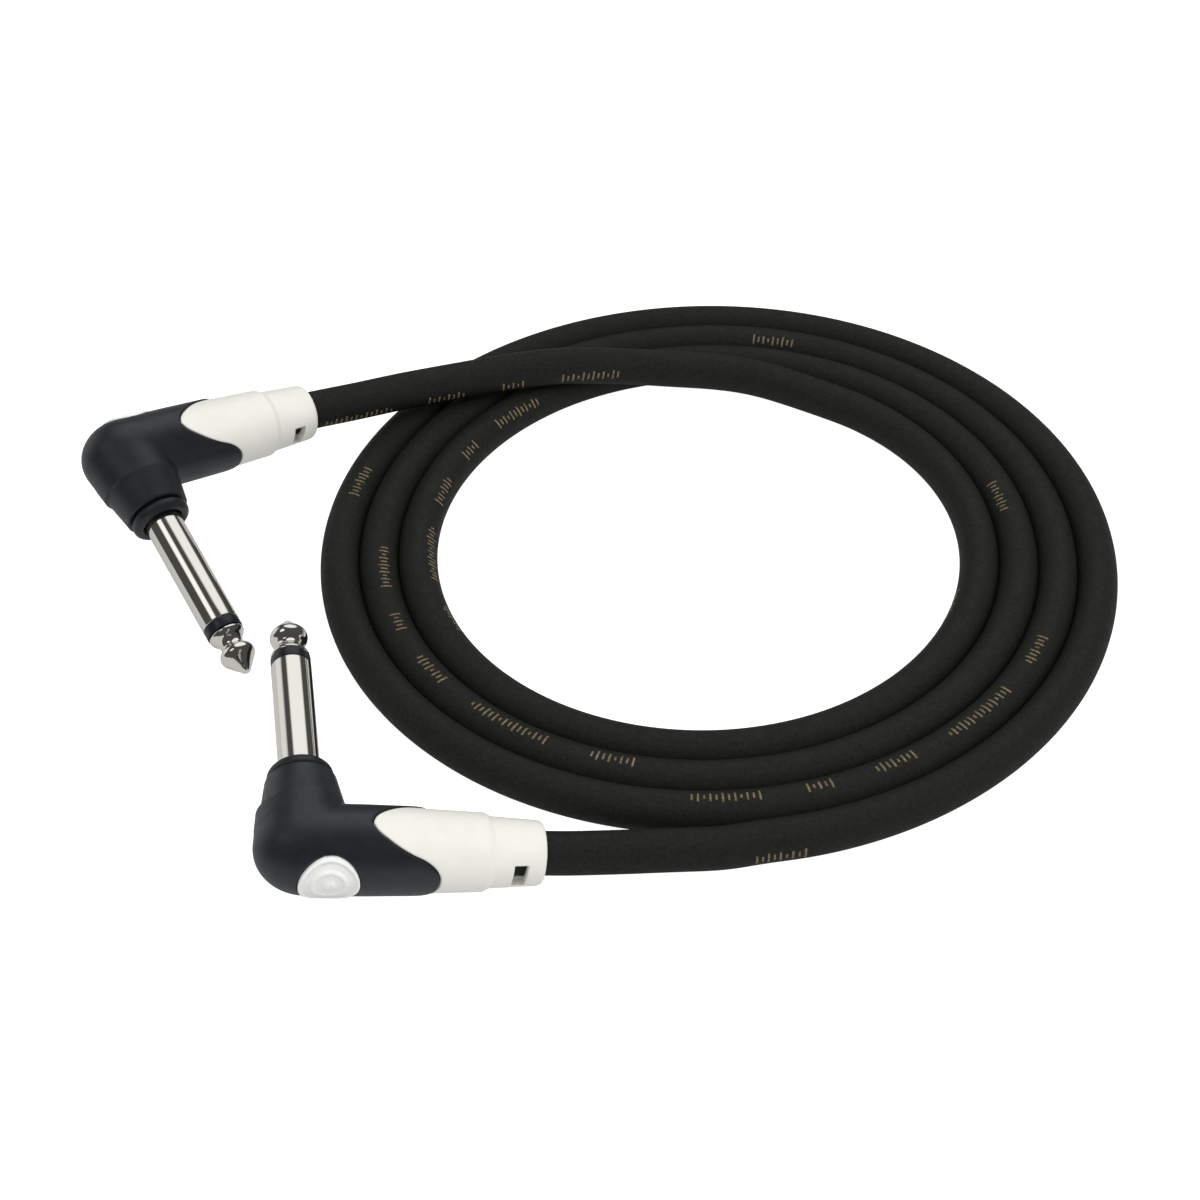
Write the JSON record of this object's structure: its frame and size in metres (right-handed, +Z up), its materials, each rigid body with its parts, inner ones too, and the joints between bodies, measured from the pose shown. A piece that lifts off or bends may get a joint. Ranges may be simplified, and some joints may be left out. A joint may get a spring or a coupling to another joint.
{
  "type": "instrument cable",
  "caption": "Short coiled instrument cable: matt black shielded cord with a right-angle quarter-inch mono plug and white strain relief boot on each end.",
  "frame": {"origin": "on the surface the cable lies on, at the middle of the rectangle that the two plugs cover, seen from above", "axes": "+Z up from the surface; +Y away from the viewer; +X to the viewer's right, towards the far side of the coil"},
  "size_m": [0.1767, 0.1572, 0.0249],
  "materials": {
    "cord_jacket": "matt extruded flexible PVC, warm black, very fine grain",
    "soft_black": "soft-touch overmould, satin bluish black",
    "mould_black": "matt moulded PVC",
    "black_ring": "turned black insulator, semi-gloss",
    "boot_white": "satin warm white moulded strain relief",
    "badge_grey": "pale silver-grey inlay, soft sheen",
    "nickel_plate": "bright nickel plating, turned",
    "brass": "stamped and turned brass",
    "copper": "bare copper strands",
    "core_clear": "natural polyethylene core insulation"
  },
  "bodies": {
    "root": {"plug_a_sleeve": "nickel_plate", "plug_a_tip": "nickel_plate", "plug_a_insulator_ring": "black_ring", "plug_a_insulating_tube": "black_ring", "plug_a_rear_washer": "black_ring", "plug_a_centre_rod": "brass", "plug_a_tip_lug": "brass", "plug_a_ground_lug": "brass", "plug_a_inner_mould": "mould_black", "plug_a_housing": "soft_black", "plug_a_collar": "soft_black", "plug_a_boot": "boot_white", "plug_a_badge": "badge_grey", "plug_a_jacket_end": "cord_jacket", "plug_a_shield": "copper", "plug_a_core_insulation": "core_clear", "plug_a_conductor": "copper", "plug_b_sleeve": "nickel_plate", "plug_b_tip": "nickel_plate", "plug_b_insulator_ring": "black_ring", "plug_b_insulating_tube": "black_ring", "plug_b_rear_washer": "black_ring", "plug_b_centre_rod": "brass", "plug_b_tip_lug": "brass", "plug_b_ground_lug": "brass", "plug_b_inner_mould": "mould_black", "plug_b_housing": "soft_black", "plug_b_collar": "soft_black", "plug_b_boot": "boot_white", "plug_b_badge": "badge_grey", "plug_b_jacket_end": "cord_jacket", "plug_b_shield": "copper", "plug_b_core_insulation": "core_clear", "plug_b_conductor": "copper", "cord_coil": "cord_jacket", "cord_lead_a": "cord_jacket", "cord_lead_b": "cord_jacket"}
  },
  "joints": []
}
